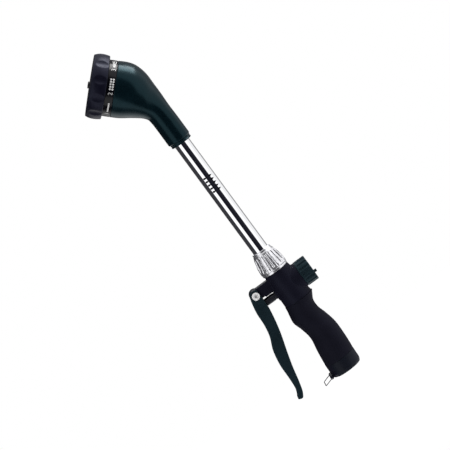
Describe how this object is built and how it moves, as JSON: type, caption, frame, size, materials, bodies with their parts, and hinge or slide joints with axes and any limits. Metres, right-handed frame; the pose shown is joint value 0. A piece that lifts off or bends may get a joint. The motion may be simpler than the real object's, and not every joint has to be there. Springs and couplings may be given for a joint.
{
  "type": "watering wand",
  "caption": "Hand-held watering wand with a tilted multi-pattern spray dial on a chromed tube, squeeze trigger with a hold-open clip, flow knob and female hose inlet.",
  "frame": {"origin": "centre of the hose inlet mouth", "axes": "+Z from the hose inlet up the tube, -X towards the trigger and the spray dial, +X towards the flow knob"},
  "size_m": [0.1068, 0.0732, 0.4552],
  "materials": {
    "green_plastic": "smooth semi-gloss moulded plastic, very dark hunter green",
    "black_plastic": "satin moulded plastic",
    "connector_plastic": "satin moulded plastic, black with a blue-green cast",
    "soft_grip": "soft-touch overmould",
    "rim_rubber": "soft-touch rim, blue-black",
    "label_black": "gloss black with white numerals",
    "chrome": "bright chrome plate",
    "satin_silver": "bright silver, fluted",
    "steel": "plain stainless",
    "brass": "machined",
    "white_plastic": "natural acetal",
    "seal_rubber": "black nitrile"
  },
  "bodies": {
    "handle": {"wand_tube": "chrome", "tube_nut": "satin_silver", "tube_collet": "white_plastic", "tube_seal": "seal_rubber", "grip_sleeve": "soft_grip", "grip_frame": "black_plastic", "handle_housing": "black_plastic", "valve_body": "white_plastic", "pivot_screw": "steel", "pivot_nut": "steel", "pivot_washers": "steel", "stem_seal": "seal_rubber", "valve_spring": "steel", "spindle_bush": "brass", "spindle_seal": "seal_rubber", "hose_connector": "connector_plastic", "hose_washer": "seal_rubber", "inlet_screen": "steel", "clip_bracket": "black_plastic", "head_shell": "green_plastic", "neck_ring": "green_plastic", "neck_seals": "seal_rubber", "port_plate": "white_plastic", "plate_seal": "seal_rubber", "port_seal": "seal_rubber", "port_spring": "steel", "dial_axle": "steel", "dial_screw": "steel", "index_spring": "steel"},
    "trigger": {"trigger_lever": "green_plastic"},
    "plunger": {"plunger": "black_plastic", "valve_stem": "brass", "valve_seal": "seal_rubber"},
    "knob": {"flow_knob": "green_plastic", "flow_spindle": "brass"},
    "clip": {"hold_clip": "steel"},
    "dial": {"dial_rim": "rim_rubber", "dial_body": "black_plastic", "spray_face": "black_plastic", "hub_cap": "black_plastic", "dial_band": "label_black"}
  },
  "joints": [
    {"name": "trigger_squeeze", "type": "hinge", "parent": "handle", "child": "trigger", "pos_m": [-0.0352, 0, 0.1297], "axis": [0, -1, 0], "range_deg": [0, 16.5], "stiffness_Nm_per_rad": 0.6, "springref_deg": -11.46},
    {"name": "plunger_push", "type": "slide", "parent": "handle", "child": "plunger", "axis": [1, 0, 0], "range_m": [0, 0.0041], "deforming": ["valve_spring"]},
    {"name": "flow_turn", "type": "hinge", "parent": "handle", "child": "knob", "pos_m": [0.0275, 0, 0.1187], "axis": [1, 0, 0], "range_deg": [0, 180]},
    {"name": "clip_swing", "type": "hinge", "parent": "handle", "child": "clip", "pos_m": [-0.02, 0, 0.004], "axis": [0, 1, 0], "range_deg": [-75, 50]},
    {"name": "dial_turn", "type": "hinge", "parent": "handle", "child": "dial", "pos_m": [-0.045, 0, 0.431], "axis": [-0.7071, 0, 0.7071], "continuous": true}
  ],
  "couplings": [
    {"joint": "plunger_push", "follows": "trigger_squeeze", "m_per_rad": 0.0142}
  ]
}
